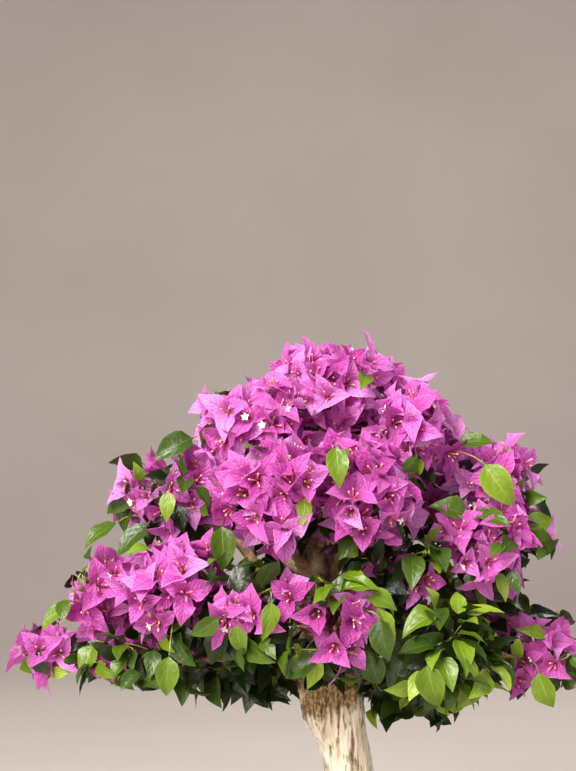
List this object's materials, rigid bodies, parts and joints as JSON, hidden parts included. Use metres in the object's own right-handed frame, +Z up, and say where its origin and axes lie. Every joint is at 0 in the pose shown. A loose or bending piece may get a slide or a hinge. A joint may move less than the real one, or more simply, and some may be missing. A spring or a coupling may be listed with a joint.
{
  "type": "bougainvillea bonsai in a pot",
  "caption": "Flowering bougainvillea bonsai with a leaning pale trunk, a wide crown of magenta bracts and green leaves, in a plain oval clay pot.",
  "frame": {"origin": "middle of the pot's flat underside, on the surface that the pot stands on", "axes": "+Z up, front towards -Y, +X to the right when seen from the front; the trunk leans towards -X"},
  "size_m": [0.6251, 0.4308, 0.6811],
  "materials": {
    "clay": "matte unglazed dark brown clay",
    "soil": "loose dark potting mix with grit",
    "bark": "pale cream bark with brown, rougher patches",
    "bracts": "thin papery magenta bracts, matte",
    "leaves": "semi-gloss green leaves"
  },
  "bodies": {
    "root": {"pot": "clay", "soil": "soil", "trunk": "bark", "bough_crown_top": "bark", "bough_upper_left": "bark", "bough_upper_right": "bark", "bough_mid_left": "bark", "bough_centre_front": "bark", "bough_centre_front_right": "bark", "bough_right_upper": "bark", "bough_right_mid": "bark", "bough_left_low": "bark", "bough_left_outer": "bark", "bough_left_tip": "bark", "bough_left_skirt": "bark", "bough_centre_low": "bark", "bough_centre_low_right": "bark", "bough_left_underside": "bark", "bough_right_inner": "bark", "bough_lower_right": "bark", "bough_right_tip": "bark", "bough_right_side": "bark", "bough_right_underside": "bark", "bough_back_top": "bark", "bough_back_left": "bark", "bough_back_right": "bark", "bough_back_centre": "bark", "bough_back_left_low": "bark", "bough_back_right_low": "bark", "bough_back_low": "bark", "blossom_crown_top": "bracts", "blossom_upper_left": "bracts", "blossom_upper_right": "bracts", "blossom_mid_left": "bracts", "blossom_centre_front": "bracts", "blossom_centre_front_right": "bracts", "blossom_right_upper": "bracts", "blossom_right_mid": "bracts", "blossom_left_low": "bracts", "blossom_left_outer": "bracts", "blossom_left_tip": "bracts", "leaves_left_skirt": "leaves", "leaves_centre_low": "leaves", "blossom_centre_low_right": "bracts", "leaves_left_underside": "leaves", "leaves_right_inner": "leaves", "leaves_lower_right": "leaves", "leaves_right_tip": "leaves", "leaves_right_side": "leaves", "leaves_right_underside": "leaves", "blossom_back_top": "bracts", "blossom_back_left": "bracts", "blossom_back_right": "bracts", "leaves_back_centre": "leaves", "leaves_back_left_low": "leaves", "leaves_back_right_low": "leaves", "leaves_back_low": "leaves"}
  },
  "joints": []
}
